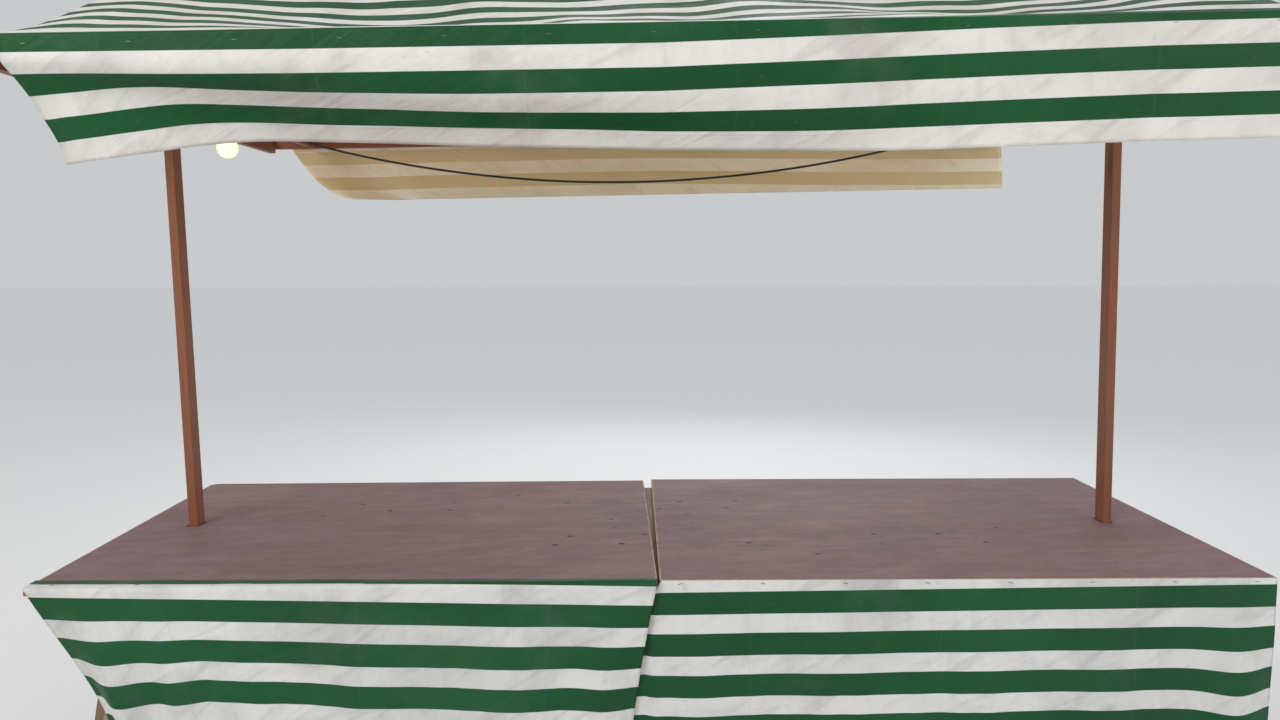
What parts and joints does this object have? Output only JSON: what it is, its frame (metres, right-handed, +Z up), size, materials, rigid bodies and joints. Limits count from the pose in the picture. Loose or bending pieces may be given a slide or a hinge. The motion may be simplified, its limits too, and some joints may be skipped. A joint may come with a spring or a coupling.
{
  "type": "wooden market stall",
  "caption": "Street market stall: plywood counter on sawhorse trestles, posts with a gabled frame, striped canopy sheet and skirts, lamps on a sagging cord.",
  "frame": {"origin": "on the ground under the middle of the stall's overall box", "axes": "+X along the counter to the customer's right, -Y towards the customer, +Z up"},
  "size_m": [3.027, 1.8, 2.3991],
  "materials": {
    "frame_wood": "sawn reddish hardwood battens, oiled by handling",
    "trestle_wood": "rough sawn boards, weathered and dusty",
    "resin_plywood": "reddish resin-faced plywood, worn matt and stained",
    "striped_sheeting": "coated woven sheeting with green and off-white stripes, soft folds and smudges",
    "holder_plastic": "black moulded lamp holder",
    "bulb_glass": "frosted warm white bulb",
    "cord_sheath": "black flexible sheath"
  },
  "bodies": {
    "root": {"back_eave_rail": "frame_wood", "bulbs": "bulb_glass", "canopy_sheet": "striped_sheeting", "front_eave_rail": "frame_wood", "lamp_cord": "cord_sheath", "lamp_holders": "holder_plastic", "left_back_rafter": "frame_wood", "left_board_battens": "trestle_wood", "left_counter_board": "resin_plywood", "left_cross_arm": "frame_wood", "left_end_rail": "frame_wood", "left_front_rafter": "frame_wood", "left_post": "frame_wood", "left_skirt": "striped_sheeting", "left_trestle_back_legs": "trestle_wood", "left_trestle_beam": "trestle_wood", "left_trestle_front_legs": "trestle_wood", "left_trestle_spreaders": "trestle_wood", "left_trestle_stretcher": "trestle_wood", "middle_trestle_back_legs": "trestle_wood", "middle_trestle_beam": "trestle_wood", "middle_trestle_front_legs": "trestle_wood", "middle_trestle_spreaders": "trestle_wood", "middle_trestle_stretcher": "trestle_wood", "ridge_pole": "frame_wood", "right_back_rafter": "frame_wood", "right_board_battens": "trestle_wood", "right_counter_board": "resin_plywood", "right_cross_arm": "frame_wood", "right_end_rail": "frame_wood", "right_front_rafter": "frame_wood", "right_post": "frame_wood", "right_skirt": "striped_sheeting", "right_trestle_back_legs": "trestle_wood", "right_trestle_beam": "trestle_wood", "right_trestle_front_legs": "trestle_wood", "right_trestle_spreaders": "trestle_wood", "right_trestle_stretcher": "trestle_wood"}
  },
  "joints": []
}
